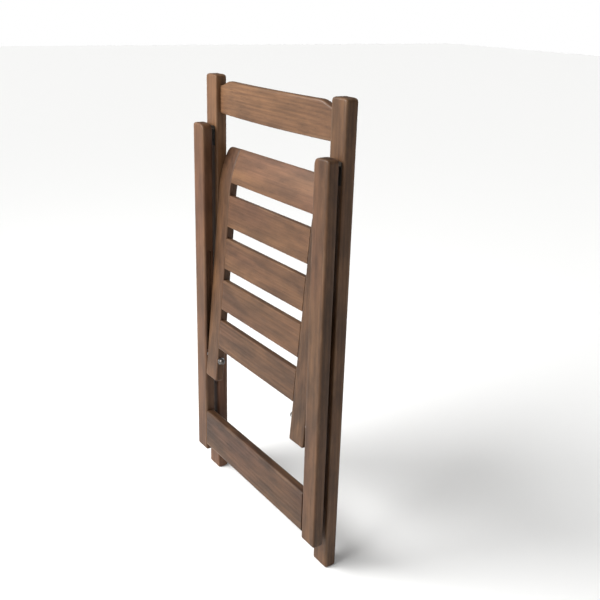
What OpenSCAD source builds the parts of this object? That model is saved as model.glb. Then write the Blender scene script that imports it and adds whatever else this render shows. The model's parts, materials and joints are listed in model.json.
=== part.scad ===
// Folding chair, shown folded flat and standing upright on its front legs.
// X runs across the chair, +Y is the way a sitter faces and +Z is up.
// Three frames: front legs with the back rail, rear legs hinged near their top,
// and a slatted seat whose rear pins run in grooves inside the rear legs.

/* [Overall] */
// Width over the legs
chair_w = 440; // [360:2:540]
// Length of the front legs, which carry on up as the back posts
front_leg_l = 840; // [800:2:1010]
// Length of the rear legs
rear_leg_l = 697; // [580:1:720]
// Angle between front and rear legs when the chair is open
open_angle = 40; // [36:1:44]
// Rise of the open seat towards its front edge
seat_rise = 6; // [3:0.5:8]

/* [Legs] */
// Width of each leg, across the chair
leg_w = 40; // [34:1:50]
// Thickness of the front legs
front_leg_t = 23; // [20:0.5:30]
// Thickness of the rear legs
rear_leg_t = 21; // [20:0.5:28]
// Gap between front and rear legs when folded
frame_gap = 8; // [8:0.5:12]
// Height of the rear feet above the front feet when folded
rear_foot_lift = 54; // [40:1:80]
// Rounding of the leg tops
leg_top_r = 7; // [3:0.5:10]
// Rounding of the inner top corner of the rear legs
rear_top_r = 13; // [6:0.5:18]

/* [Rails] */
// Height of the back rail
crest_h = 62; // [58:1:90]
// Thickness of the back rail
crest_t = 14; // [13:0.5:18]
// Bow of the back rail, backwards from its ends to its middle
crest_bow = 9; // [4:0.5:12]
// Drop of the back rail below the leg tops
crest_drop = 9; // [4:0.5:20]
// Drop of the back rail's rounded shoulders
shoulder_drop = 10; // [4:0.5:12]
// Length of the back rail's rounded shoulders
shoulder_l = 40; // [16:1:60]
// Height of the floor rail between the rear legs
floor_rail_h = 82; // [60:1:100]
// Thickness of the floor rail
floor_rail_t = 18; // [14:0.5:20]
// Height of the floor rail above the rear feet
floor_rail_lift = 13; // [8:1:40]
// Diameter of the beech dowels
dowel_d = 8; // [6:1:10]
// Length of the beech dowels
dowel_l = 36; // [28:1:40]
// Inset of the dowels from a rail's edges
dowel_inset = 19; // [12:1:22]

/* [Seat] */
// Lean of the folded seat between the two frames
seat_lean = 4.8; // [4:0.1:6]
// Height of the seat pins above the floor when folded
pin_height = 281; // [260:1:290]
// Length of the seat rails ahead of the pins
seat_front_l = 429; // [400:1:440]
// Length of the seat rails behind the pins
seat_tail_l = 45; // [30:1:60]
// Width of each seat rail
seat_rail_w = 43; // [34:1:50]
// Thickness of the seat rails
seat_rail_t = 16; // [14:0.1:20]
// Gap between the seat rails and the legs
side_gap = 2.5; // [2:0.1:4]
// Distance from the pins to the rearmost slat
slat_start = 28; // [20:1:40]
// Width of the slats
slat_w = 61; // [50:1:62]
// Width of the front slat
front_slat_w = 65; // [55:1:66]
// Gap between slats
slat_gap = 23; // [14:1:24]
// Thickness of the slats
slat_t = 12; // [10:0.5:13]
// Bend radius of the seat's front edge
nose_r = 220; // [180:5:400]
// Length of the bent stretch at the front of the seat
nose_l = 88; // [60:1:120]
// Length of the slat tenons
tenon_l = 18; // [12:1:24]
// Thickness of the slat tenons
tenon_t = 7; // [5:0.5:8]
// Shoulder at each edge of a tenon
tenon_shoulder = 5; // [3:0.5:8]

/* [Seat support] */
// Diameter of the steel rod under the seat
rod_d = 8; // [7:0.5:8]
// Height of the rod above the front feet
rod_height = 484; // [478:1:490]
// Depth of the rod behind the front legs' rear face
rod_depth = 16; // [15:0.5:16]
// Depth of the rod's holes in the legs
rod_seat_l = 18; // [12:1:24]
// Length of the stop cleats under the seat rails
cleat_l = 20; // [16:1:30]
// Width of the stop cleats
cleat_w = 24; // [18:1:30]
// Thickness of the stop cleats
cleat_t = 5; // [4:0.25:5]
// Inset of the stop cleats from the rails' outer faces
cleat_inset = 1; // [0.5:0.5:3]

/* [Seat guides] */
// Diameter of the seat bolts
bolt_d = 6; // [5:0.5:8]
// Diameter of the nylon rollers on the seat bolts
roller_d = 12; // [10:0.1:15]
// Length of the rollers
roller_l = 7; // [5:0.5:9]
// Diameter of the flat bolt heads
bolt_head_d = 10; // [8:0.5:10]
// Thickness of the bolt heads
bolt_head_t = 2; // [1.5:0.1:3]
// Outer diameter of the washers
washer_d = 14; // [12:0.5:15]
// Thickness of the washer behind each nut
nut_washer_t = 1.2; // [1:0.1:2]
// Diameter of the domed nuts
nut_d = 12; // [10:0.5:13]
// Height of the nuts' straight part
nut_base_h = 3; // [2:0.1:5]

/* [Hinges] */
// Distance of the hinge axis below the rear leg tops
hinge_drop = 8; // [6:0.5:9]
// Length of the hinge knuckles, across the leg
hinge_w = 30; // [24:1:32]
// Height of the hinge leaves
leaf_h = 34; // [30:1:40]
// Thickness of the hinge leaves
leaf_t = 1.5; // [1.2:0.1:2]
// Diameter of the hinge pins
hinge_pin_d = 3; // [2:0.1:3.4]
// Diameter of the wood screws
screw_d = 3.2; // [2.8:0.1:4]
// Length of the hinge screws
screw_l = 15; // [12:1:17]

/* [Clearances] */
// Clearance around dowels, pins and screws that are fixed
fixed_fit = 0.02; // [0.01:0.01:0.05]
// Clearance around parts that turn
turning_fit = 0.05; // [0.02:0.01:0.09]
// Clearance around the tenons
tenon_fit = 0.05; // [0.02:0.01:0.2]
// Clearance on each side of a roller in its groove
groove_fit = 0.3; // [0.2:0.05:0.6]
// Gap between the rod and the seat that rests over it
rest_gap = 0.4; // [0.3:0.1:1]
// Gap between the rod and the stop cleats when open
stop_gap = 0.5; // [0.4:0.1:1]
// Gap between the knuckles of a hinge
knuckle_gap = 0.3; // [0.1:0.1:0.5]

/* [Hidden] */
$fn = 48;

frame_wood = "#7a4f35";
seat_wood = "#80553a";
pale_wood = "#c9a877";
steel = "#b9bcc0";
nylon = "#2c2b29";

// Half widths across the chair
leg_inner_x = chair_w / 2 - leg_w;
leg_mid_x = chair_w / 2 - leg_w / 2;
seat_outer_x = leg_inner_x - side_gap;
seat_inner_x = seat_outer_x - seat_rail_w;

// How far a cutting shape runs past the face it opens
past = 1;

// Folded stack, front to back, with the front legs' rear face at zero
rear_leg_y = -frame_gap - rear_leg_t;
rear_leg_top = rear_foot_lift + rear_leg_l;
pin = [-frame_gap - rear_leg_t / 2, pin_height];
hinge = [-frame_gap / 2, rear_leg_top - hinge_drop];
rod = [rod_depth, rod_height];

// Turns a front-to-back offset as the rear legs swing open
function swung(p, a) = [p.x * cos(a) + p.y * sin(a), -p.x * sin(a) + p.y * cos(a)];

// Open pose: both feet on the floor and the seat resting over the rod
open_foot = hinge + swung([pin.x, rear_foot_lift] - hinge, open_angle);
floor_run = [front_leg_t / 2, 0] - open_foot;
chair_lean = atan2(-floor_run.y, floor_run.x);
open_seat_turn = 90 + chair_lean - seat_rise;
seat_dir = [sin(open_seat_turn), cos(open_seat_turn)];
seat_up = [-seat_dir.y, seat_dir.x];
over_rod = rod + seat_up * (seat_rail_t / 2 + rest_gap + rod_d / 2);
groove_dir = swung([0, 1], open_angle);
pin_swung = hinge + swung(pin - hinge, open_angle) - over_rod;
mesh_det = seat_dir.x * groove_dir.y - groove_dir.x * seat_dir.y;
// Distance from the seat pins to the rod, and the pins' travel along the grooves
rod_reach = (groove_dir.x * pin_swung.y - pin_swung.x * groove_dir.y) / mesh_det;
groove_travel = (seat_dir.y * pin_swung.x - seat_dir.x * pin_swung.y) / mesh_det;
cleat_start = rod_reach + rod_d / 2 + stop_gap;

// A point of the seat, u along it from the pins and v above its middle,
// given as [depth, height] in the seat's own upright frame
nose_start = seat_front_l - nose_l;
function seat_point(u, v) =
    u <= nose_start
    ? [-v, u]
    : let (a = (u - nose_start) / nose_r * 180 / PI)
      [nose_r * (1 - cos(a)) - v * cos(a), nose_start + nose_r * sin(a) + v * sin(a)];
bend_steps = 10;
function steps_along(u0, u1) =
    u1 <= nose_start
    ? [u0, u1]
    : let (b = max(u0, nose_start))
      concat(u0 < nose_start ? [u0] : [], [for (i = [0:bend_steps]) b + (u1 - b) * i / bend_steps]);
function seat_band(u0, u1, v0, v1) =
    let (u = steps_along(u0, u1), n = len(u) - 1)
    concat([for (i = [0:n]) seat_point(u[i], v1)], [for (i = [n:-1:0]) seat_point(u[i], v0)]);

// The chair's depth, which centres it front to back on the origin
seat_outline = seat_band(-seat_tail_l, seat_front_l, -seat_rail_t / 2, seat_rail_t / 2);
seat_depths = [for (p = seat_outline) pin.x + p.x * cos(seat_lean) + p.y * sin(seat_lean)];
depth_mid = (min(rear_leg_y, min(seat_depths)) + max(front_leg_t, max(seat_depths))) / 2;

// Places a piece of the legs
module standing() translate([0, -depth_mid, 0]) children();

// Places a piece of the seat, drawn upright with its pins at the origin
module on_seat() {
    standing() translate([0, pin.x, pin.y]) rotate([-seat_lean, 0, 0]) children();
}

// Draws its children on both sides of the chair
module both_sides() {
    children();
    mirror([1, 0, 0]) children();
}

module side(s) mirror([s < 0 ? 1 : 0, 0, 0]) children();

// A hole or rod along X that starts at x
module rod_x(x, r, l) translate([x, 0, 0]) rotate([0, 90, 0]) cylinder(r = r, h = l);

// A board standing in the XZ plane, from depth y and t thick
module board(y, t) translate([0, y + t, 0]) rotate([90, 0, 0]) linear_extrude(t) children();

// A flat outline in the YZ plane, drawn along X from x and l long
module across(x, l) translate([x, 0, 0]) rotate([90, 0, 90]) linear_extrude(l) children();

// Outline of a leg with rounded top corners
module leg_outline(l, inner_r, outer_r) {
    square([leg_w, l - max(inner_r, outer_r)]);
    translate([inner_r, 0]) square([leg_w - inner_r - outer_r, l]);
    translate([inner_r, l - inner_r]) circle(inner_r);
    translate([leg_w - outer_r, l - outer_r]) circle(outer_r);
    translate([leg_w / 2, 0]) square([leg_w / 2, l - outer_r]);
    square([leg_w / 2, l - inner_r]);
}

// Dowel places at a rail's ends: depth and height of each
crest_z = front_leg_l - crest_drop - crest_h;
floor_rail_z = rear_foot_lift + floor_rail_lift;
crest_y = front_leg_t - crest_t;
crest_end_slope = 2 * crest_bow / leg_inner_x;
crest_dowel_y = crest_y + crest_t / 2 - crest_end_slope * dowel_l / 4;
crest_dowels = [for (z = [dowel_inset, crest_h - dowel_inset]) [crest_dowel_y, crest_z + z]];
floor_dowels = [for (z = [dowel_inset, floor_rail_h - dowel_inset])
    [rear_leg_y + floor_rail_t / 2, floor_rail_z + z]];

module dowels(places, grow) {
    for (p = places)
        translate([0, p.x, p.y]) rod_x(leg_inner_x - dowel_l / 2 - grow, dowel_d / 2 + grow, dowel_l + 2 * grow);
}

// Hinge screws: two near the axis and one below them, placed across the leg and below the axis
screw_out = 0.3 * hinge_w;
upper_screw_drop = 0.44 * leaf_h;
lower_screw_drop = 0.8 * leaf_h;
screw_places = [[-screw_out, -upper_screw_drop], [screw_out, -upper_screw_drop], [0, -lower_screw_drop]];

// A countersunk head is a little under twice as wide as its shank
screw_head_r = 0.95 * screw_d;
screw_head_h = 0.44 * screw_d;

// A countersunk wood screw that points along +Y with its head's face at zero
module wood_screw(l, grow) {
    rotate([-90, 0, 0]) {
        cylinder(r1 = screw_head_r + grow, r2 = screw_d / 2 + grow, h = screw_head_h);
        cylinder(r = screw_d / 2 + grow, h = l + grow);
    }
}

// The hinge screws of one leg, seen from the gap, with dir +1 into the front leg
module hinge_screws(dir, grow) {
    translate([leg_mid_x, 0, hinge.y])
        for (p = screw_places)
            translate([p.x, dir > 0 ? -leaf_t : -frame_gap + leaf_t, p.y])
                mirror([0, dir > 0 ? 0 : 1, 0]) wood_screw(screw_l, grow);
}

module front_leg() {
    difference() {
        translate([leg_inner_x, 0, 0]) board(0, front_leg_t) leg_outline(front_leg_l, leg_top_r, leg_top_r);
        dowels(crest_dowels, fixed_fit);
        translate([0, rod.x, rod.y]) rod_x(leg_inner_x - past, rod_d / 2 + fixed_fit, rod_seat_l + past + fixed_fit);
        hinge_screws(1, fixed_fit);
    }
}

groove_r = roller_d / 2 + groove_fit;
groove_depth = roller_l + bolt_head_t + 3 * groove_fit;

module groove() {
    for (z = [0, groove_travel])
        translate([0, pin.x, pin.y + z]) rod_x(leg_inner_x - past, groove_r, groove_depth + past);
    translate([leg_inner_x - past, pin.x - groove_r, pin.y])
        cube([groove_depth + past, 2 * groove_r, groove_travel]);
}

module rear_leg() {
    difference() {
        translate([leg_inner_x, 0, rear_foot_lift])
            board(rear_leg_y, rear_leg_t) leg_outline(rear_leg_l, rear_top_r, leg_top_r);
        dowels(floor_dowels, fixed_fit);
        groove();
        hinge_screws(-1, fixed_fit);
    }
}

module left_front_leg() color(frame_wood) standing() side(-1) front_leg();
module right_front_leg() color(frame_wood) standing() side(1) front_leg();
module left_rear_leg() color(frame_wood) standing() side(-1) rear_leg();
module right_rear_leg() color(frame_wood) standing() side(1) rear_leg();

// Back rail: bowed backwards in plan, its top eased down by a shoulder at each end
shoulder_steps = 8;
function shoulder(t) = [
    leg_inner_x - shoulder_l + shoulder_l * t,
    crest_h - shoulder_drop * (1 - cos(180 * t)) / 2
];
bow_steps = 16;
bow_places = [for (i = [0:bow_steps]) leg_inner_x * (2 * i / bow_steps - 1)];
function bow(x) = -crest_bow * (1 - pow(x / leg_inner_x, 2));

module crest_front_view() {
    end_x = leg_inner_x + past;
    top_r = concat([[end_x, crest_h - shoulder_drop]],
        [for (i = [shoulder_steps:-1:0]) shoulder(i / shoulder_steps)]);
    top_l = [for (i = [len(top_r) - 1:-1:0]) [-top_r[i].x, top_r[i].y]];
    polygon(concat([[-end_x, -past], [end_x, -past]], top_r, top_l));
}

module crest_plan() {
    polygon(concat([for (x = bow_places) [x, bow(x)]], [for (x = bow_places) [-x, bow(x) + crest_t]]));
}

module crest_rail() {
    color(frame_wood) standing() difference() {
        translate([0, 0, crest_z]) intersection() {
            board(crest_y - crest_bow - past, crest_t + crest_bow + 2 * past) crest_front_view();
            translate([0, crest_y, 0]) linear_extrude(crest_h) crest_plan();
        }
        both_sides() dowels(crest_dowels, fixed_fit);
    }
}

module floor_rail() {
    color(frame_wood) standing() difference() {
        translate([-leg_inner_x, rear_leg_y, floor_rail_z]) cube([2 * leg_inner_x, floor_rail_t, floor_rail_h]);
        both_sides() dowels(floor_dowels, fixed_fit);
    }
}

module crest_rail_dowels() color(pale_wood) standing() both_sides() dowels(crest_dowels, 0);
module floor_rail_dowels() color(pale_wood) standing() both_sides() dowels(floor_dowels, 0);

module seat_support_rod() {
    color(steel) standing() translate([0, rod.x, rod.y])
        rod_x(-leg_inner_x - rod_seat_l, rod_d / 2, 2 * (leg_inner_x + rod_seat_l));
}

// Butt hinge: the front leaf holds two outer knuckles, the rear leaf the middle one.
// Each knuckle is given as its start and its length across the leg.
knuckle_to_leg = 0.5;
knuckle_r = frame_gap / 2 - knuckle_to_leg;
middle_half = hinge_w / 6;
outer_l = hinge_w / 2 - middle_half - knuckle_gap;
outer_knuckles = [[-hinge_w / 2, outer_l], [hinge_w / 2 - outer_l, outer_l]];
middle_knuckle = [[-middle_half, 2 * middle_half]];
// Depth of the cut between the knuckles, and of the straps that carry them
cut_drop = knuckle_r + 1;
strap_drop = cut_drop + 1;

module leaf(knuckles, bore_r) {
    translate([leg_mid_x, 0, hinge.y]) difference() {
        union() {
            translate([-hinge_w / 2, -leaf_t, -leaf_h]) cube([hinge_w, leaf_t, leaf_h - cut_drop]);
            for (k = knuckles) {
                translate([k[0], -leaf_t, -strap_drop]) cube([k[1], leaf_t, strap_drop]);
                translate([0, hinge.x, 0]) rod_x(k[0], knuckle_r, k[1]);
            }
        }
        translate([0, hinge.x, 0]) rod_x(-hinge_w, bore_r, 2 * hinge_w);
    }
}

module front_leaf() {
    difference() {
        leaf(outer_knuckles, hinge_pin_d / 2 + fixed_fit);
        hinge_screws(1, fixed_fit);
    }
}

module rear_leaf() {
    difference() {
        translate([0, -frame_gap, 0]) mirror([0, 1, 0]) leaf(middle_knuckle, hinge_pin_d / 2 + turning_fit);
        hinge_screws(-1, fixed_fit);
    }
}

module left_hinge_front_leaf() color(steel) standing() side(-1) front_leaf();
module right_hinge_front_leaf() color(steel) standing() side(1) front_leaf();
module left_hinge_rear_leaf() color(steel) standing() side(-1) rear_leaf();
module right_hinge_rear_leaf() color(steel) standing() side(1) rear_leaf();

module hinge_pins() {
    color(steel) standing() both_sides() translate([leg_mid_x, hinge.x, hinge.y])
        rod_x(-hinge_w / 2, hinge_pin_d / 2, hinge_w);
}

module front_leaf_screws() color(steel) standing() both_sides() hinge_screws(1, 0);
module rear_leaf_screws() color(steel) standing() both_sides() hinge_screws(-1, 0);

// Slats: the front one is wider and follows the bend of the rails
last_slat = 4;
slat_top = seat_rail_t / 2;
tenon_mid = slat_top - slat_t / 2;
function slat_from(i) = slat_start + i * (slat_w + slat_gap);
function slat_to(i) = slat_from(i) + (i == last_slat ? front_slat_w : slat_w);

module slat_tenon(i, x, l, grow) {
    across(x, l) polygon(seat_band(
        slat_from(i) + tenon_shoulder - grow, slat_to(i) - tenon_shoulder + grow,
        tenon_mid - tenon_t / 2 - grow, tenon_mid + tenon_t / 2 + grow));
}

module slat(i) {
    color(seat_wood) on_seat() {
        across(-seat_inner_x, 2 * seat_inner_x)
            polygon(seat_band(slat_from(i), slat_to(i), slat_top - slat_t, slat_top));
        slat_tenon(i, -seat_inner_x - tenon_l, 2 * (seat_inner_x + tenon_l), 0);
    }
}

module seat_slat_1() slat(0);
module seat_slat_2() slat(1);
module seat_slat_3() slat(2);
module seat_slat_4() slat(3);
module seat_slat_5() slat(4);

// Stop cleats sit under the rails, just ahead of the rod
cleat_x = seat_outer_x - cleat_inset - cleat_w / 2;
cleat_screw_z = [cleat_start + 0.3 * cleat_l, cleat_start + 0.7 * cleat_l];
cleat_screw_l = cleat_t + 0.6 * seat_rail_t;

module cleat_screw_set(grow) {
    for (z = cleat_screw_z)
        translate([cleat_x, seat_rail_t / 2 + cleat_t, z])
            mirror([0, 1, 0]) wood_screw(cleat_screw_l, grow);
}

module seat_rail() {
    difference() {
        across(seat_inner_x, seat_rail_w) polygon(seat_outline);
        for (i = [0:last_slat])
            slat_tenon(i, seat_inner_x - past, tenon_l + past + tenon_fit, tenon_fit);
        rod_x(seat_inner_x - past, bolt_d / 2 + fixed_fit, seat_rail_w + 2 * past);
        cleat_screw_set(fixed_fit);
    }
}

module left_seat_rail() color(seat_wood) on_seat() side(-1) seat_rail();
module right_seat_rail() color(seat_wood) on_seat() side(1) seat_rail();

module stop_cleats() {
    color(seat_wood) on_seat() both_sides() difference() {
        translate([cleat_x - cleat_w / 2, seat_rail_t / 2, cleat_start]) cube([cleat_w, cleat_t, cleat_l]);
        cleat_screw_set(fixed_fit);
    }
}

module cleat_screws() color(steel) on_seat() both_sides() cleat_screw_set(0);

// Seat bolt, from the domed nut inside the seat out to the groove
nut_x = seat_inner_x - nut_washer_t;
roller_x = leg_inner_x + groove_fit;
head_x = roller_x + roller_l + groove_fit;
bolt_start_x = nut_x - nut_base_h;

module seat_bolts() {
    color(steel) on_seat() both_sides() {
        rod_x(bolt_start_x, bolt_d / 2, head_x - bolt_start_x);
        rod_x(head_x, bolt_head_d / 2, bolt_head_t);
    }
}

module guide_rollers() {
    color(nylon) on_seat() both_sides() difference() {
        rod_x(roller_x, roller_d / 2, roller_l);
        rod_x(roller_x - past, bolt_d / 2 + turning_fit, roller_l + 2 * past);
    }
}

module washer(x, t) {
    difference() {
        rod_x(x, washer_d / 2, t);
        rod_x(x - past, bolt_d / 2 + fixed_fit, t + 2 * past);
    }
}

module spacer_washers() color(steel) on_seat() both_sides() washer(seat_outer_x, side_gap - groove_fit);
module nut_washers() color(steel) on_seat() both_sides() washer(nut_x, nut_washer_t);

module domed_nuts() {
    color(steel) on_seat() both_sides() difference() {
        translate([nut_x, 0, 0]) rotate([0, -90, 0]) rotate_extrude() {
            square([nut_d / 2, nut_base_h]);
            translate([0, nut_base_h]) intersection() {
                circle(nut_d / 2);
                square(nut_d / 2);
            }
        }
        rod_x(bolt_start_x - fixed_fit, bolt_d / 2 + fixed_fit, nut_base_h + past);
    }
}

left_front_leg();
right_front_leg();
crest_rail();
crest_rail_dowels();
seat_support_rod();
left_hinge_front_leaf();
right_hinge_front_leaf();
hinge_pins();
front_leaf_screws();
left_rear_leg();
right_rear_leg();
floor_rail();
floor_rail_dowels();
left_hinge_rear_leaf();
right_hinge_rear_leaf();
rear_leaf_screws();
guide_rollers();
left_seat_rail();
right_seat_rail();
seat_slat_1();
seat_slat_2();
seat_slat_3();
seat_slat_4();
seat_slat_5();
stop_cleats();
cleat_screws();
seat_bolts();
spacer_washers();
nut_washers();
domed_nuts();
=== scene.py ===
import json
import math

import bmesh
import bpy
import numpy as np
from mathutils import Matrix, Vector


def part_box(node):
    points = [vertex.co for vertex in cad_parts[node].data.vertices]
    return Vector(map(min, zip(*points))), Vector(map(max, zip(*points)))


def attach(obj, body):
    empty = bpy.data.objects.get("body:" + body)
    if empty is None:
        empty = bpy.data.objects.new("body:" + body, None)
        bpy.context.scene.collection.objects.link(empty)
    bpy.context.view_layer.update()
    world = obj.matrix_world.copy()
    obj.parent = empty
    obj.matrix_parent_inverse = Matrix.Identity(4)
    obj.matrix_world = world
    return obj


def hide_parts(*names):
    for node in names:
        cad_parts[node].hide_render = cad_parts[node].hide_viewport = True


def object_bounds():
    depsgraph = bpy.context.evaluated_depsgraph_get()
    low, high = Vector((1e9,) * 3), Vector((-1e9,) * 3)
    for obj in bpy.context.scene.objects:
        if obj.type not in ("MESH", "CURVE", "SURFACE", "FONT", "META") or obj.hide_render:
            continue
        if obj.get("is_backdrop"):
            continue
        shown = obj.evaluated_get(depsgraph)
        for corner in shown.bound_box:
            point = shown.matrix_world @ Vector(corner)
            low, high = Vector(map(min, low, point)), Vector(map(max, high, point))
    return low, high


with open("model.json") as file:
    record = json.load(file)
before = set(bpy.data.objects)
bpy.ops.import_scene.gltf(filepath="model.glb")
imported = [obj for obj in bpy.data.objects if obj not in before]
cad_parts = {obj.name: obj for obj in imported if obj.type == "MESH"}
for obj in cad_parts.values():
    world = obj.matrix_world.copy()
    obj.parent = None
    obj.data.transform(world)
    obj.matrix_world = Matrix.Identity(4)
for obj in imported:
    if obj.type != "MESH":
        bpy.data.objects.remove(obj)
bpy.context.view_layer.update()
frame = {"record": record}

# ---------------------------------------------------------------------------
# The studio: a pale floor that the folded chair stands on, a broad soft key light
# and a nearer lamp, both to the left, a white surround, and the camera itself.
# ---------------------------------------------------------------------------
CAMERA_PLACE = (1.1861, -0.7516, 0.9748)
CAMERA_AZIMUTH = math.radians(55.18)
CAMERA_DROP = math.radians(20.36)
CAMERA_ROLL = math.radians(1.71)
LENS = 48.6
SENSOR_WIDTH = 36.0


def camera_turn(azimuth, drop, roll):
    """Rotation of a camera that looks along +Y at azimuth 0.

    It is turned left by azimuth, tipped down by drop, then rolled.
    """
    return (
        Matrix.Rotation(azimuth, 3, "Z")
        @ Matrix.Rotation(math.pi / 2 - drop, 3, "X")
        @ Matrix.Rotation(roll, 3, "Z")
    )


camera = bpy.data.objects.new("camera", bpy.data.cameras.new("camera"))
camera.location = CAMERA_PLACE
camera.rotation_euler = camera_turn(CAMERA_AZIMUTH, CAMERA_DROP, CAMERA_ROLL).to_euler()
camera.data.lens = LENS
camera.data.sensor_width = SENSOR_WIDTH
bpy.context.collection.objects.link(camera)
bpy.context.scene.camera = camera

# the key light comes low over the left shoulder, so the sides that face right stay dark
KEY_PLACE = (-0.35, -1.0, 0.6)
KEY_STRENGTH = 4.2
KEY_SPREAD = math.radians(60)
TOP_LAMP_PLACE = (-0.6, -1.2, 1.45)
TOP_LAMP_AIM = (0.0, 0.0, 0.75)
TOP_LAMP_SIZE = 0.8
TOP_LAMP_POWER = 22.0
SKY_LIGHT = 0.36
SKY_SEEN = 1.0
WHITE = (1.0, 1.0, 1.0, 1.0)

key = bpy.data.objects.new("key_light", bpy.data.lights.new("key_light", "SUN"))
key.data.energy, key.data.angle = KEY_STRENGTH, KEY_SPREAD
key.rotation_euler = (-Vector(KEY_PLACE)).to_track_quat("-Z", "Y").to_euler()
bpy.context.collection.objects.link(key)

# a near lamp, so that the light falls off towards the feet
lamp = bpy.data.objects.new("top_lamp", bpy.data.lights.new("top_lamp", "AREA"))
lamp.data.energy, lamp.data.size = TOP_LAMP_POWER, TOP_LAMP_SIZE
lamp.location = TOP_LAMP_PLACE
lamp.rotation_euler = (Vector(TOP_LAMP_AIM) - lamp.location).to_track_quat("-Z", "Y").to_euler()
bpy.context.collection.objects.link(lamp)

# the surround looks white to the camera and lights the chair more weakly than it looks
world = bpy.data.worlds.new("studio")
world.use_nodes = True
sky = world.node_tree.nodes["Background"]
sky.inputs["Color"].default_value = WHITE
seen = world.node_tree.nodes.new("ShaderNodeLightPath")
strength = world.node_tree.nodes.new("ShaderNodeMapRange")
strength.inputs["To Min"].default_value = SKY_LIGHT
strength.inputs["To Max"].default_value = SKY_SEEN
world.node_tree.links.new(seen.outputs["Is Camera Ray"], strength.inputs["Value"])
world.node_tree.links.new(strength.outputs["Result"], sky.inputs["Strength"])
bpy.context.scene.world = world
bpy.context.scene.view_settings.view_transform = "Standard"

FLOOR_SIZE = 30.0
FLOOR_WHITE = (0.93, 0.93, 0.92, 1.0)
FLOOR_ROUGHNESS = 0.9

floor_mesh = bpy.data.meshes.new("floor")
half = FLOOR_SIZE / 2
floor_mesh.from_pydata(
    [(-half, -half, 0), (half, -half, 0), (half, half, 0), (-half, half, 0)], [], [(0, 1, 2, 3)]
)
floor = bpy.data.objects.new("floor", floor_mesh)
bpy.context.collection.objects.link(floor)
floor_paint = bpy.data.materials.new("floor_paint")
floor_paint.use_nodes = True
floor_shader = floor_paint.node_tree.nodes["Principled BSDF"]
floor_shader.inputs["Base Color"].default_value = FLOOR_WHITE
floor_shader.inputs["Roughness"].default_value = FLOOR_ROUGHNESS
floor_mesh.materials.append(floor_paint)
floor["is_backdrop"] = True

# ---------------------------------------------------------------------------
# Front legs: two planed hardwood boards that run on up as the back posts. Their
# long edges are eased with a small round and their tops are sawn to a radius.
# The stain and lacquer that every wooden piece shares are made here.
# ---------------------------------------------------------------------------
EDGE_EASE = 0.0042
FOOT_EASE = 0.004
LEG_TOP_ROUND = 0.007
LEG_RINGS = 24
LEG_PLAIN_END = 0.02
LEG_BEND_STEPS = 14
LEG_FIRST_STEP = 0.0002
# a guard point this far from each eased corner keeps the flat beside it flat
GUARD = 0.003
GUARD_SHARE = 0.9
ARC_STEPS = 5
CAP_SHARE = 0.6
MERGE_DISTANCE = 2e-6
SLIVER = 1e-7
SHARP_ANGLE = math.radians(40)
# the colour blend's sockets: its share, its two colours, and its result
SHARE, FIRST_COLOUR, SECOND_COLOUR, BLENDED = 0, 6, 7, 2


class Wire:
    """A shader socket that takes part in sums. Each operator adds one Math node."""

    def __init__(self, tree, socket):
        self.tree, self.socket = tree, socket

    def node(self, kind, settings, links, out=0):
        """Adds a node: its settings first, then the values or wires of its sockets."""
        made = self.tree.nodes.new(kind)
        for name, value in settings.items():
            setattr(made, name, value)
        for name, value in links.items():
            if isinstance(value, Wire):
                self.tree.links.new(value.socket, made.inputs[name])
            else:
                made.inputs[name].default_value = value
        return Wire(self.tree, made.outputs[out])

    def _math(self, operation, first, second):
        return self.node("ShaderNodeMath", {"operation": operation}, {0: first, 1: second})

    def __add__(self, other):
        return self._math("ADD", self, other)

    def __radd__(self, other):
        return self._math("ADD", other, self)

    def __sub__(self, other):
        return self._math("SUBTRACT", self, other)

    def __rsub__(self, other):
        return self._math("SUBTRACT", other, self)

    def __mul__(self, other):
        return self._math("MULTIPLY", self, other)

    def __rmul__(self, other):
        return self._math("MULTIPLY", other, self)

    def __pow__(self, other):
        return self._math("POWER", self, other)

    def clipped(self, low, high):
        """Stretches low..high to 0..1 with soft ends."""
        return self.node(
            "ShaderNodeMapRange",
            {"interpolation_type": "SMOOTHSTEP"},
            {"Value": self, "From Min": low, "From Max": high},
        )

    def scaled(self, by, shift=(0.0, 0.0, 0.0)):
        """A vector times by, plus shift, axis by axis."""
        return self.node(
            "ShaderNodeVectorMath", {"operation": "MULTIPLY_ADD"}, {0: self, 1: by, 2: shift}
        )

    def noise(self, detail=3.0, roughness=0.55):
        """Soft noise read at this vector, about 0 to 1."""
        links = {"Vector": self, "Scale": 1.0, "Detail": detail, "Roughness": roughness}
        return self.node("ShaderNodeTexNoise", {}, links)

    def blend(self, first, second):
        """The first colour blended towards the second by this share."""
        links = {SHARE: self, FIRST_COLOUR: first, SECOND_COLOUR: second}
        return self.node("ShaderNodeMix", {"data_type": "RGBA"}, links, out=BLENDED)

    def mixed(self, other, share):
        """This colour blended towards another by share."""
        return share.blend(self, other)

    def bumped(self, strength, distance):
        """The normal that this height gives."""
        return self.node("ShaderNodeBump", {}, {"Strength": strength, "Distance": distance, "Height": self})


def new_finish(name):
    """An empty material: its shader and a wire that starts from Object coordinates."""
    finish = bpy.data.materials.new(name)
    finish.use_nodes = True
    tree = finish.node_tree
    shader = tree.nodes["Principled BSDF"]
    place = Wire(tree, tree.nodes.new("ShaderNodeTexCoord").outputs["Object"])
    return finish, shader, place


def feed(place, shader, **inputs):
    """Links wires to the shader's sockets, named with underscores for spaces."""
    for name, wire in inputs.items():
        place.tree.links.new(wire.socket, shader.inputs[name.replace("_", " ")])


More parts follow.
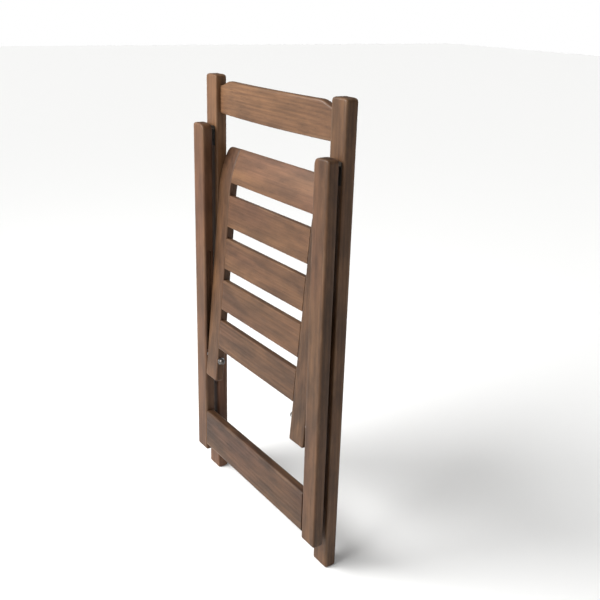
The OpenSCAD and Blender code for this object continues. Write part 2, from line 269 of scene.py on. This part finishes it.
STAIN_DARK = (0.070, 0.032, 0.015, 1.0)
STAIN_MID = (0.124, 0.060, 0.029, 1.0)
STAIN_WARM = (0.185, 0.092, 0.040, 1.0)
STAIN_ROSE = (0.140, 0.058, 0.036, 1.0)
PORE_BROWN = (0.028, 0.012, 0.006, 1.0)
RUBBED_EDGE = (0.230, 0.135, 0.075, 1.0)
END_GRAIN = (0.045, 0.021, 0.011, 1.0)
GRAIN_ALONG = {"X": 0, "Y": 1, "Z": 2}

# each layer's noise, in turns per metre across the grain and along it
BEND_NOISE, WAVER_NOISE, SLOW_NOISE, BLUSH_NOISE = (9.0, 1.6), (55.0, 4.0), (11.0, 1.3), (7.0, 2.2)
STREAK_NOISE, FIBRE_NOISE, CLOUD_NOISE = (260.0, 5.0), (1300.0, 26.0), (42.0, 14.0)
PORE_NOISE, RUB_NOISE = (1500.0, 48.0), (60.0, 7.0)
# a growth ring is 2 pi / RING_PHASE wide, and its line leans and bends by these
RING_PHASE, RING_WAVER = 900.0, 5.0
PITH_LEAN, PITH_BEND = 0.030, 0.030
# how far each layer takes the colour towards its stain
BLUSH_SHARE, PORE_SHARE, RUBBED_SHARE, END_SHARE = 0.65, 0.55, 0.34, 0.55
LATE_SHARE, STREAK_SHARE = 0.28, 0.45
# how much the fibres and clouds brighten the board, and what is taken off first
FIBRE_LIFT, CLOUD_LIFT, LIFT_BASE = 0.30, 0.34, 0.30
# pores in the early wood stay shallower than those in the late wood
PORE_LATE, PORE_EARLY = 0.6, 0.4
RUB_GAIN = 1.25
# the lacquer's roughness, and what each layer adds to it or takes from it
LACQUER_ROUGHNESS = 0.46
STREAK_ROUGH, PORE_ROUGH, RUBBED_SHINE, END_ROUGH = 0.08, 0.18, 0.07, 0.22
# how high each layer stands
STREAK_HEIGHT, FIBRE_HEIGHT, LATE_HEIGHT, PORE_DEPTH = 0.35, 0.25, 0.18, 0.9
RELIEF_STRENGTH, RELIEF_DISTANCE = 0.32, 0.00035
LACQUER_SHINE, COAT, COAT_ROUGHNESS = 0.20, 0.08, 0.35


def stained_wood(name, along, shift, pith, tone_and_painted_shade):
    """Brown stain on hardwood under satin lacquer, the grain running along one axis.

    Growth rings are the distance from a pith line that leans a little along the grain, bent by slow noise.
    Pores are noise stretched along the grain and cut off high. Edges are rubbed paler and end grain drinks
    more stain, both from the piece's own attributes. The last argument lifts or lowers the whole board; it
    is partly the board's own tone and partly painted shade, set darker for the right-hand boards and for
    those nearer the floor, where less light falls.
    """
    finish, shader, place = new_finish(name)
    grain = GRAIN_ALONG[along]

    def stretched(turns):
        across, length = turns
        by = [across] * 3
        by[grain] = length
        return place.scaled(by, shift)

    # distance across the grain, read on the two axes that the grain doesn't take
    apart = place.node("ShaderNodeSeparateXYZ", {}, {0: place.scaled((1.0, 1.0, 1.0), pith)})
    axes = [Wire(place.tree, apart.socket.node.outputs[i]) for i in range(3)]
    run = axes[grain]
    first, second = [axes[i] for i in range(3) if i != grain]
    bend = stretched(BEND_NOISE).noise(2.0, 0.5) * PITH_BEND
    reach = ((first + run * PITH_LEAN) ** 2 + (second + bend) ** 2) ** 0.5
    ring = reach * RING_PHASE + stretched(WAVER_NOISE).noise(3.0) * RING_WAVER
    late = place.node("ShaderNodeMath", {"operation": "SINE"}, {0: ring}) * 0.5 + 0.5

    slow = stretched(SLOW_NOISE).noise(2.0).clipped(0.32, 0.70)
    blush = stretched(BLUSH_NOISE).noise(2.0, 0.6).clipped(0.45, 0.75)
    streak = stretched(STREAK_NOISE).noise(4.0, 0.65).clipped(0.30, 0.72)
    fibre = stretched(FIBRE_NOISE).noise(3.0, 0.7)
    cloud = stretched(CLOUD_NOISE).noise(4.0, 0.6).clipped(0.30, 0.70)
    pore = stretched(PORE_NOISE).noise(2.0, 0.6).clipped(0.60, 0.70)
    pore_zone = pore * (late * PORE_LATE + PORE_EARLY)

    edge = place.node("ShaderNodeAttribute", {"attribute_name": "edge"}, {}, out=2)
    end = place.node("ShaderNodeAttribute", {"attribute_name": "end"}, {}, out=2)
    patches = stretched(RUB_NOISE).noise(3.0, 0.7).clipped(0.38, 0.72)
    rubbed = (edge * RUB_GAIN * patches).clipped(0.15, 1.0)

    colour = slow.blend(STAIN_MID, STAIN_WARM)
    colour = colour.mixed(STAIN_ROSE, blush * BLUSH_SHARE)
    colour = colour.mixed(STAIN_DARK, late * LATE_SHARE + streak * STREAK_SHARE)
    colour = colour.mixed(PORE_BROWN, pore_zone * PORE_SHARE)
    colour = colour.mixed(RUBBED_EDGE, rubbed * RUBBED_SHARE)
    colour = colour.mixed(END_GRAIN, end * END_SHARE)
    # the board's tone, partly its own and partly painted shade, scales the whole colour
    lift = fibre * FIBRE_LIFT + cloud * CLOUD_LIFT + (tone_and_painted_shade - LIFT_BASE)
    colour = colour.node("ShaderNodeVectorMath", {"operation": "SCALE"}, {0: colour, "Scale": lift})

    gloss = (
        LACQUER_ROUGHNESS + streak * STREAK_ROUGH + pore_zone * PORE_ROUGH
        - rubbed * RUBBED_SHINE + end * END_ROUGH
    )
    relief = (
        streak * STREAK_HEIGHT + fibre * FIBRE_HEIGHT + late * LATE_HEIGHT - pore_zone * PORE_DEPTH
    )
    bump = relief.bumped(RELIEF_STRENGTH, RELIEF_DISTANCE)
    feed(place, shader, Base_Color=colour, Roughness=gloss, Normal=bump)
    shader.inputs["Specular IOR Level"].default_value = LACQUER_SHINE
    shader.inputs["Coat Weight"].default_value = COAT
    shader.inputs["Coat Roughness"].default_value = COAT_ROUGHNESS
    return finish


def stations(length, ease, inner):
    """Places along a run and the inset at each.

    Both ends are a quarter round of radius ease: inset = ease - sqrt(ease^2 - (ease - reach)^2), where
    reach is the distance from the nearer end.
    """
    turn = np.sin(np.linspace(0.0, math.pi / 2, ARC_STEPS))
    near = ease * (1.0 - turn[::-1])
    s = np.concatenate([near, [ease + GUARD], inner, [length - ease - GUARD], length - near[::-1]])
    s = np.unique(np.round(s, 7))
    reach = np.clip(np.minimum(s, length - s), 0.0, ease)
    inset = ease - np.sqrt(np.maximum(ease**2 - (ease - reach) ** 2, 0.0))
    return s, inset


def eased_rings(half_w, half_t, ease):
    """Corner-rounded rectangles, one per station, and how much each of their points lies on a corner.

    Each corner is a quarter arc of radius ease, with a guard point on the flat before and after it.
    """
    guard = np.minimum(GUARD, GUARD_SHARE * (np.minimum(half_w, half_t) - ease).clip(0.0))
    rings, worn = [], []
    for corner in range(4):
        base = corner * math.pi / 2
        turn = base + np.linspace(0.0, math.pi / 2, ARC_STEPS)
        sx = 1.0 if corner in (0, 3) else -1.0
        sy = 1.0 if corner in (0, 1) else -1.0
        cx, cy = sx * (half_w - ease), sy * (half_t - ease)
        x = cx[:, None] + ease[:, None] * np.cos(turn)
        y = cy[:, None] + ease[:, None] * np.sin(turn)
        before = np.stack([x[:, 0] + guard * math.sin(base), y[:, 0] - guard * math.cos(base)], -1)
        after = np.stack([x[:, -1] - guard * math.cos(base), y[:, -1] - guard * math.sin(base)], -1)
        rings += [before[:, None], np.stack([x, y], -1), after[:, None]]
        worn += [0.0] + [1.0] * ARC_STEPS + [0.0]
    return np.concatenate(rings, 1), np.array(worn)


def carried_board(name, centre, across, up, half_w, half_t, ease, inset, end_grain=True):
    """A board: rounded rectangles carried along a run, drawn in by inset towards its two flat ends.

    Each point is centre + across * w + up * t.
    """
    corner = np.maximum(ease - inset, 0.0)
    ring, worn = eased_rings(half_w - inset, half_t - inset, corner)
    points = centre[:, None] + across[:, None] * ring[..., :1] + up[:, None] * ring[..., 1:]
    n, m = ring.shape[:2]
    index = np.arange(n * m).reshape(n, m)
    after = np.roll(index, -1, 1)
    quads = np.stack([index[:-1], after[:-1], after[1:], index[1:]], -1).reshape(-1, 4)
    faces = quads.tolist() + [index[0, ::-1].tolist(), index[-1].tolist()]
    at_end = np.broadcast_to((inset > SLIVER)[:, None] * 1.0, (n, m))
    edge = np.maximum(np.broadcast_to(worn, (n, m)), at_end)
    thirsty = 1.0 if end_grain else 0.0
    cap = np.broadcast_to((inset > inset.max() * CAP_SHARE)[:, None] * thirsty, (n, m))
    return closed_mesh(name, points.reshape(-1, 3), faces, edge.ravel(), cap.ravel())


def closed_mesh(name, points, faces, edge, end):
    """A mesh from its points and faces, with coincident points merged and its normals turned outwards."""
    mesh = bpy.data.meshes.new(name)
    mesh.from_pydata(points.tolist(), [], faces)
    for label, values in (("edge", edge), ("end", end)):
        marks = mesh.attributes.new(label, "FLOAT", "POINT")
        marks.data.foreach_set("value", np.asarray(values, np.float32))
    work = bmesh.new()
    work.from_mesh(mesh)
    bmesh.ops.remove_doubles(work, verts=work.verts, dist=MERGE_DISTANCE)
    bmesh.ops.dissolve_degenerate(work, dist=SLIVER, edges=work.edges)
    bmesh.ops.recalc_face_normals(work, faces=work.faces)
    work.to_mesh(mesh)
    work.free()
    mesh.shade_smooth()
    mesh.set_sharp_from_angle(angle=SHARP_ANGLE)
    return mesh


def fit_piece(mesh, finish, body, slot, *replaced):
    """Puts a finished mesh on the chair: its material, body and the CAD nodes it stands for. slot is not
    used.
    """
    mesh.materials.clear()
    mesh.materials.append(finish)
    piece = bpy.data.objects.new(mesh.name, mesh)
    bpy.context.collection.objects.link(piece)
    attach(piece, body)
    if replaced:
        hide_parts(*replaced)


def rows(count, vector):
    """The same vector for every station."""
    return np.tile(np.array(vector, float), (count, 1))


def top_draw(s, length, radius):
    """How far a rounded corner at a run's end has drawn in at s: radius minus the circle's half chord."""
    left = np.clip(length - s, 0.0, radius) if radius else np.zeros_like(s)
    return radius - np.sqrt(np.maximum(radius**2 - (radius - left) ** 2, 0.0))


def leg_mesh(name, node, side, inner_round, outer_round):
    """A leg as a board carried up Z, its inner and outer top corners rounded across the chair."""
    low, high = (np.array(v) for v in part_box(node))
    length = high[2] - low[2]
    top_bends = length - np.geomspace(max(inner_round, outer_round), LEG_FIRST_STEP, LEG_BEND_STEPS)
    shank = np.linspace(LEG_PLAIN_END, length - LEG_PLAIN_END, LEG_RINGS)
    s, inset = stations(length, FOOT_EASE, np.concatenate([shank, top_bends]))
    inner_x = min(abs(low[0]), abs(high[0])) + top_draw(s, length, inner_round)
    outer_x = max(abs(low[0]), abs(high[0])) - top_draw(s, length, outer_round)
    middle_y, half_t = (low[1] + high[1]) / 2, (high[1] - low[1]) / 2
    centre = np.stack([side * (inner_x + outer_x) / 2, np.full_like(s, middle_y), low[2] + s], -1)
    n = len(s)
    return carried_board(
        name, centre, rows(n, (1, 0, 0)), rows(n, (0, 1, 0)),
        (outer_x - inner_x) / 2, np.full(n, half_t), EDGE_EASE, inset,
    )


# each board's side, word, shift of its grain, place of its pith and tone; the tone is partly the board's own
# and partly painted shade, lower on the right-hand board, whose faces turn from the light
FRONT_LEG_BOARDS = (
    (-1, "left", (-3.1, 1.7, 0.4), (0.23, 0.06, 0.1), 0.94),
    (1, "right", (3.1, 1.7, 0.4), (-0.17, 0.09, 0.3), 0.64),
)
for side, word, shift, pith, tone_and_painted_shade in FRONT_LEG_BOARDS:
    wood = stained_wood(f"{word}_front_leg_wood", "Z", shift, pith, tone_and_painted_shade)
    leg = leg_mesh(f"{word}_front_leg_board", f"{word}_front_leg", side, LEG_TOP_ROUND, LEG_TOP_ROUND)
    fit_piece(leg, wood, "front_frame", "front_frame_wood", f"{word}_front_leg")

# ---------------------------------------------------------------------------
# Back rail: a board sawn to a bow in plan, dowelled between the posts just below
# their tops. Its upper edge is eased down to a shoulder at both ends.
# ---------------------------------------------------------------------------
SHOULDER_DROP = 0.010
SHOULDER_LENGTH = 0.040
BACK_RAIL_T = 0.014
RAIL_EASE = 0.0035
BUTT_EASE = 0.0005
BACK_RAIL_PLAIN_END = 0.002
BACK_RAIL_RINGS = 80
# the last number is the rail's tone: partly its own, partly painted light, bright because the rail sits at
# the top, nearest the lamp
BACK_RAIL_GRAIN_AND_LIGHT = ((0.7, 2.3, 5.1), (0.2, 0.05, -0.72), 0.84)

low, high = (np.array(v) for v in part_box("crest_rail"))
length = high[0] - low[0]
bow_rings = np.linspace(BACK_RAIL_PLAIN_END, length - BACK_RAIL_PLAIN_END, BACK_RAIL_RINGS)
s, inset = stations(length, BUTT_EASE, bow_rings)
from_end = np.minimum(s, length - s)
# half a cosine takes the upper edge from the shoulder's drop to nothing
drop = SHOULDER_DROP * (1 + np.cos(math.pi * np.clip(from_end / SHOULDER_LENGTH, 0, 1))) / 2
top, foot = high[2] - drop, low[2]
# a parabola bows the rail backwards, most at its middle
bow = (high[1] - low[1] - BACK_RAIL_T) * (1 - ((2 * s - length) / length) ** 2)
n = len(s)
centre = np.stack([low[0] + s, high[1] - BACK_RAIL_T / 2 - bow, (top + foot) / 2], -1)
rail = carried_board(
    "back_rail_board", centre, rows(n, (0, 1, 0)), rows(n, (0, 0, 1)),
    np.full(n, BACK_RAIL_T / 2), (top - foot) / 2, RAIL_EASE, inset,
)
fit_piece(
    rail, stained_wood("back_rail_wood", "X", *BACK_RAIL_GRAIN_AND_LIGHT),
    "front_frame", "front_frame_wood", "crest_rail",
)

# ---------------------------------------------------------------------------
# Rear legs: planed boards with a blind groove routed along each inner face, where
# the seat's rollers run. The inner top corners are sawn to a larger radius.
# ---------------------------------------------------------------------------
REAR_TOP_ROUND = 0.013
GROOVE_HALF = 0.0063
GROOVE_DEPTH = 0.0099
GROOVE_ROUND_STEPS = 24
CUTTER_PROUD = 0.004

joints = {joint["name"]: joint for joint in frame["record"]["behaviour"]["joints"]}
seat_pin = np.array(joints["seat_tilt"]["pos_m"])
groove_run = joints["seat_slide"]["range_m"][1]


def routed_groove(mesh, side):
    """Cuts the groove: two half circles joined by straight sides, carried from outside the inner face
    to the groove's depth."""
    turn = np.linspace(0.0, math.pi, GROOVE_ROUND_STEPS)
    lower = np.stack([GROOVE_HALF * np.cos(turn), -GROOVE_HALF * np.sin(turn)], -1)
    upper = np.stack([-lower[:, 0], groove_run - lower[:, 1]], -1)
    outline = np.concatenate([lower, upper])
    face_x = min(abs(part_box("right_rear_leg")[0][0]), abs(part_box("right_rear_leg")[1][0]))
    n = len(outline)
    y, z = seat_pin[1] + outline[:, 0], seat_pin[2] + outline[:, 1]
    ends = [side * (face_x - CUTTER_PROUD), side * (face_x + GROOVE_DEPTH)]
    points = np.concatenate([np.column_stack([np.full(n, x), y, z]) for x in ends])
    ring = np.arange(n)
    walls = np.stack([ring, np.roll(ring, -1), np.roll(ring, -1) + n, ring + n], -1).tolist()
    faces = walls + [ring[::-1].tolist(), (ring + n).tolist()]
    cutter_mesh = closed_mesh("groove_cutter", points, faces, np.zeros(2 * n), np.zeros(2 * n))
    cutter = bpy.data.objects.new("groove_cutter", cutter_mesh)
    leg = bpy.data.objects.new("leg_blank", mesh)
    for thing in (cutter, leg):
        bpy.context.collection.objects.link(thing)
    cut = leg.modifiers.new("groove", "BOOLEAN")
    cut.operation, cut.solver, cut.object = "DIFFERENCE", "EXACT", cutter
    routed = bpy.data.meshes.new_from_object(leg.evaluated_get(bpy.context.evaluated_depsgraph_get()))
    name = mesh.name
    for thing in (cutter, leg):
        bpy.data.objects.remove(thing)
    mesh.name = name + "_blank"
    routed.name = name
    routed.shade_smooth()
    routed.set_sharp_from_angle(angle=SHARP_ANGLE)
    return routed


# the right-hand rear leg's lower tone is painted shade, as its faces turn from the light
REAR_LEG_BOARDS = (
    (-1, "left", (-5.3, 4.1, 2.2), (0.21, 0.02, -0.2), 0.74),
    (1, "right", (5.3, 4.1, 2.2), (-0.19, 0.12, 0.6), 0.52),
)
for side, word, shift, pith, tone_and_painted_shade in REAR_LEG_BOARDS:
    wood = stained_wood(f"{word}_rear_leg_wood", "Z", shift, pith, tone_and_painted_shade)
    leg = leg_mesh(f"{word}_rear_leg_board", f"{word}_rear_leg", side, REAR_TOP_ROUND, LEG_TOP_ROUND)
    fit_piece(routed_groove(leg, side), wood, "rear_frame", "rear_frame_wood", f"{word}_rear_leg")

# ---------------------------------------------------------------------------
# Floor rail: the wide hardwood board that ties the rear legs together just above
# their feet, dowelled at both ends and flush with the faces turned from the front legs.
# ---------------------------------------------------------------------------
FLOOR_RAIL_PLAIN_END = 0.02
FLOOR_RAIL_RINGS = 16
# the last number is the rail's tone: partly its own, partly painted shade, dark because the rail sits near
# the floor, where the light falls off
FLOOR_RAIL_GRAIN_AND_SHADE = ((1.9, 0.3, 7.7), (0.1, 0.11, -0.03), 0.44)

low, high = (np.array(v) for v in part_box("floor_rail"))
length = high[0] - low[0]
s, inset = stations(
    length, BUTT_EASE, np.linspace(FLOOR_RAIL_PLAIN_END, length - FLOOR_RAIL_PLAIN_END, FLOOR_RAIL_RINGS)
)
n = len(s)
centre = np.stack([low[0] + s, np.full(n, (low[1] + high[1]) / 2), np.full(n, (low[2] + high[2]) / 2)], -1)
rail = carried_board(
    "floor_rail_board", centre, rows(n, (0, 1, 0)), rows(n, (0, 0, 1)),
    np.full(n, (high[1] - low[1]) / 2), np.full(n, (high[2] - low[2]) / 2), EDGE_EASE, inset,
)
fit_piece(
    rail, stained_wood("floor_rail_wood", "X", *FLOOR_RAIL_GRAIN_AND_SHADE),
    "rear_frame", "rear_frame_wood", "floor_rail",
)

# ---------------------------------------------------------------------------
# Seat: two side rails with five slats tenoned between them. Towards the front
# the rails and the last slat bend over, so that the edge is soft to sit on.
# ---------------------------------------------------------------------------
SEAT_LEAN = math.radians(4.8)
SEAT_FRONT = 0.429
SEAT_TAIL = 0.045
SEAT_RAIL_T = 0.016
SEAT_RAIL_EASE = 0.0022
TAIL_CORNER = 0.006
NOSE_CORNER = 0.014
NOSE_RADIUS = 0.220
NOSE_START = SEAT_FRONT - 0.088
SLAT_START = 0.028
SLAT_WIDTH = 0.061
FRONT_SLAT_WIDTH = 0.065
SLAT_PITCH = 0.084
SLAT_T = 0.012
SLAT_EASE = 0.0022
SEAT_STEP = 0.008
CORNER_STEPS = 10
CORNER_FIRST_STEP = 0.0003
SMALLEST_CORNER = 0.001


def seat_run(u, height):
    """Points along the seat at distance u from the pins and height above its middle, and how it faces there.

    Up to the nose the run is straight. Beyond it the run follows an arc of the nose radius that bends under.
    The whole is leant forward about the pins by the folded seat's lean.
    """
    bend = np.maximum(u - NOSE_START, 0.0) / NOSE_RADIUS
    straight = np.minimum(u, NOSE_START)
    depth = NOSE_RADIUS * (1 - np.cos(bend)) - height * np.cos(bend)
    rise = straight + NOSE_RADIUS * np.sin(bend) + height * np.sin(bend)
    c, q = math.cos(SEAT_LEAN), math.sin(SEAT_LEAN)
    y, z = seat_pin[1] + depth * c + rise * q, seat_pin[2] + rise * c - depth * q
    place = np.stack([np.zeros_like(u), y, z], -1)
    turn = bend + SEAT_LEAN
    facing = np.stack([np.zeros_like(u), -np.cos(turn), np.sin(turn)], -1)
    return place, facing


def seat_board(
    name, low_x, high_x, start, end, height, thick, ease, end_ease, grain_ends, corners=(0.0, 0.0)
):
    """A rail or slat as a board carried along the seat, from start to end, between low_x and high_x.

    The side at high_x is rounded at its two ends by the radii in corners, as quarter circles.
    """
    run = end - start
    steps = np.linspace(SEAT_STEP, run - SEAT_STEP, 2 + int(run / SEAT_STEP))
    bends = [
        np.abs(place - np.geomspace(max(radius, SMALLEST_CORNER), CORNER_FIRST_STEP, CORNER_STEPS))
        for place, radius in zip((0.0, run), corners)
    ]
    s, inset = stations(run, end_ease, np.concatenate([steps, *bends]))
    centre, facing = seat_run(start + s, np.full_like(s, height))
    drawn = top_draw(run - s, run, corners[0]) + top_draw(s, run, corners[1])
    outer_x = high_x - math.copysign(1.0, high_x) * drawn
    centre[:, 0] = (low_x + outer_x) / 2
    n = len(s)
    return carried_board(
        name, centre, rows(n, (-1, 0, 0)), facing,
        abs(outer_x - low_x) / 2, np.full(n, thick / 2), ease, inset, grain_ends,
    )


# each rail's side, word, shift of its grain, place of its pith and tone; the right-hand rail's lower tone is
# painted shade, as its faces turn from the light
SEAT_RAIL_BOARDS = (
    (-1, "left", (-2.2, 9.1, 3.3), (0.15, 0.10, 0.2), 0.62),
    (1, "right", (2.2, 9.1, 3.3), (-0.14, 0.05, 0.4), 0.45),
)
rail_low, rail_high = (np.array(v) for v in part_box("right_seat_rail"))
for side, word, shift, pith, tone_and_painted_shade in SEAT_RAIL_BOARDS:
    rail = seat_board(
        f"{word}_seat_rail_board", side * rail_low[0], side * rail_high[0],
        -SEAT_TAIL, SEAT_FRONT, 0.0, SEAT_RAIL_T, SEAT_RAIL_EASE, EDGE_EASE, True,
        (TAIL_CORNER, NOSE_CORNER),
    )
    wood = stained_wood(f"{word}_seat_rail_wood", "Z", shift, pith, tone_and_painted_shade)
    fit_piece(rail, wood, "seat", "seat_wood", f"{word}_seat_rail")

# the slats' tones are partly their own and partly painted shade: the lower slats are darker, as the light
# falls off towards the feet
SLAT_TONES_AND_PAINTED_SHADE = (0.56, 0.61, 0.66, 0.74, 0.79)
FRONT_SLAT = len(SLAT_TONES_AND_PAINTED_SHADE) - 1
for i, tone_and_painted_shade in enumerate(SLAT_TONES_AND_PAINTED_SHADE):
    start = SLAT_START + i * SLAT_PITCH
    end = start + (FRONT_SLAT_WIDTH if i == FRONT_SLAT else SLAT_WIDTH)
    slat = seat_board(
        f"seat_slat_{i + 1}_board", -rail_low[0], rail_low[0], start, end,
        (SEAT_RAIL_T - SLAT_T) / 2, SLAT_T, BUTT_EASE, SLAT_EASE, False,
    )
    shift = (1.3 + 2.7 * i, 6.2 - i, 0.9 * i)
    pith = (0.07 * i, 0.07, -0.31 - 0.1 * i)
    wood = stained_wood(f"seat_slat_{i + 1}_wood", "X", shift, pith, tone_and_painted_shade)
    fit_piece(slat, wood, "seat", "seat_wood", f"seat_slat_{i + 1}")

# ---------------------------------------------------------------------------
# Stop cleats: small hardwood blocks screwed under the rails. They catch the
# steel rod when the chair is open.
# ---------------------------------------------------------------------------
CLEAT_GRAIN = ((8.8, 2.5, 1.1), (0.1, 0.06, 0.2), 0.92)


def dress(finish, *nodes):
    """Gives CAD nodes their finish."""
    for node in nodes:
        for material_slot in bpy.data.objects[node].material_slots:
            material_slot.material = finish


dress(stained_wood("stop_cleat_wood", "Z", *CLEAT_GRAIN), "stop_cleats")

# ---------------------------------------------------------------------------
# Steel: the rod, seat bolts, washers and cleat screws are plated with zinc. The
# hinges, their pins and their screws are bronzed dark. All show a fine mottle.
# ---------------------------------------------------------------------------
ZINC = (0.60, 0.61, 0.63, 1.0)
ZINC_DULL = (0.40, 0.41, 0.43, 1.0)
BRONZE = (0.085, 0.070, 0.058, 1.0)
BRONZE_DULL = (0.045, 0.036, 0.030, 1.0)
ZINC_ROUGHNESS, BRONZE_ROUGHNESS = 0.26, 0.38
# turns per metre of the plating's mottle, specks and scratches
MOTTLE_NOISE, SPECK_NOISE, SCRATCH_NOISE = (240.0,) * 3, (2600.0,) * 3, (90.0, 2400.0, 2400.0)
MOTTLE_SHARE, SPECK_SHARE = 0.6, 0.2
MOTTLE_ROUGH, SCRATCH_ROUGH, SPECK_HEIGHT = 0.12, 0.14, 0.4
PLATE_RELIEF, PLATE_DISTANCE = 0.12, 0.0001


def plated_steel(name, bright, dull, gloss):
    """Plated steel: a slow mottle between two greys, fine specks, and short scratches in the roughness."""
    finish, shader, place = new_finish(name)
    mottle = place.scaled(MOTTLE_NOISE).noise(4.0, 0.6).clipped(0.3, 0.7)
    specks = place.scaled(SPECK_NOISE).noise(2.0, 0.6)
    scratch = place.scaled(SCRATCH_NOISE).noise(2.0, 0.7).clipped(0.55, 0.75)
    colour = (mottle * MOTTLE_SHARE + specks * SPECK_SHARE).blend(bright, dull)
    rough = gloss + mottle * MOTTLE_ROUGH + scratch * SCRATCH_ROUGH
    bump = (scratch + specks * SPECK_HEIGHT).bumped(PLATE_RELIEF, PLATE_DISTANCE)
    feed(place, shader, Base_Color=colour, Roughness=rough, Normal=bump)
    shader.inputs["Metallic"].default_value = 1.0
    return finish


zinc = plated_steel("zinc_plate", ZINC, ZINC_DULL, ZINC_ROUGHNESS)
dress(zinc, "cleat_screws", "seat_support_rod", "seat_bolts", "spacer_washers", "nut_washers")
bronzed = plated_steel("bronzed_steel", BRONZE, BRONZE_DULL, BRONZE_ROUGHNESS)
dress(
    bronzed, "left_hinge_front_leaf", "right_hinge_front_leaf",
    "left_hinge_rear_leaf", "right_hinge_rear_leaf", "hinge_pins", "front_leaf_screws", "rear_leaf_screws",
)

# ---------------------------------------------------------------------------
# Domed nuts: steel acorn nuts with a dull dark plate, on the bolts' inner ends.
# Each is turned with a chamfered foot, a short straight wall and a round dome.
# ---------------------------------------------------------------------------
NUT_RADIUS = 0.006
NUT_BASE = 0.003
NUT_CHAMFER = 0.0006
NUT_TURN_STEPS = 48
NUT_DOME_STEPS = 16
NUT_PLATE = (0.13, 0.12, 0.11, 1.0)
NUT_PLATE_DULL = (0.07, 0.063, 0.056, 1.0)
NUT_ROUGHNESS = 0.30

dark_plate = plated_steel("dark_nut_plate", NUT_PLATE, NUT_PLATE_DULL, NUT_ROUGHNESS)
nut_foot_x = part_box("domed_nuts")[1][0]


def domed_nut(name, side):
    """A lathe surface: radius and reach along X follow a chamfer, a straight wall and a quarter circle."""
    rise = np.linspace(0.0, math.pi / 2, NUT_DOME_STEPS)
    radius = np.concatenate([[0.0, NUT_RADIUS - NUT_CHAMFER, NUT_RADIUS], NUT_RADIUS * np.cos(rise)])
    reach = np.concatenate([[0.0, 0.0, NUT_CHAMFER], NUT_BASE + NUT_RADIUS * np.sin(rise)])
    turn = np.linspace(0.0, 2 * math.pi, NUT_TURN_STEPS, endpoint=False)
    x = np.broadcast_to((nut_foot_x - reach)[:, None] * side, (len(reach), len(turn)))
    y = seat_pin[1] + radius[:, None] * np.cos(turn)
    z = seat_pin[2] + radius[:, None] * np.sin(turn)
    points = np.stack([x, y, z], -1).reshape(-1, 3)
    index = np.arange(len(points)).reshape(x.shape)
    after = np.roll(index, -1, 1)
    faces = np.stack([index[:-1], after[:-1], after[1:], index[1:]], -1).reshape(-1, 4).tolist()
    return closed_mesh(name, points, faces, np.zeros(len(points)), np.zeros(len(points)))


for side, word in ((-1, "left"), (1, "right")):
    replaced = ("domed_nuts",) if side > 0 else ()
    fit_piece(domed_nut(f"{word}_acorn_nut", side), dark_plate, "seat", "bright_zinc", *replaced)

# ---------------------------------------------------------------------------
# Rollers: turned black nylon bushes that run in the rear legs' grooves.
# Dowels: bare beech pegs, hidden in the rails' joints.
# ---------------------------------------------------------------------------
NYLON_BLACK, NYLON_WORN = (0.022, 0.022, 0.023, 1.0), (0.045, 0.044, 0.042, 1.0)
NYLON_NOISE = (500.0,) * 3
NYLON_ROUGHNESS, NYLON_ROUGH_SPREAD = 0.38, 0.2
BEECH_PALE, BEECH_FLECK = (0.62, 0.43, 0.26, 1.0), (0.45, 0.29, 0.17, 1.0)
BEECH_NOISE = (60.0, 900.0, 900.0)
BEECH_ROUGHNESS, BEECH_ROUGH_SPREAD = 0.6, 0.15

finish, shader, place = new_finish("black_nylon")
cloud = place.scaled(NYLON_NOISE).noise(3.0)
colour = cloud.blend(NYLON_BLACK, NYLON_WORN)
feed(place, shader, Base_Color=colour, Roughness=cloud * NYLON_ROUGH_SPREAD + NYLON_ROUGHNESS)
dress(finish, "guide_rollers")

finish, shader, place = new_finish("bare_beech")
fleck = place.scaled(BEECH_NOISE).noise(3.0).clipped(0.35, 0.7)
colour = fleck.blend(BEECH_PALE, BEECH_FLECK)
feed(place, shader, Base_Color=colour, Roughness=fleck * BEECH_ROUGH_SPREAD + BEECH_ROUGHNESS)
dress(finish, "crest_rail_dowels", "floor_rail_dowels")

low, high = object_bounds()
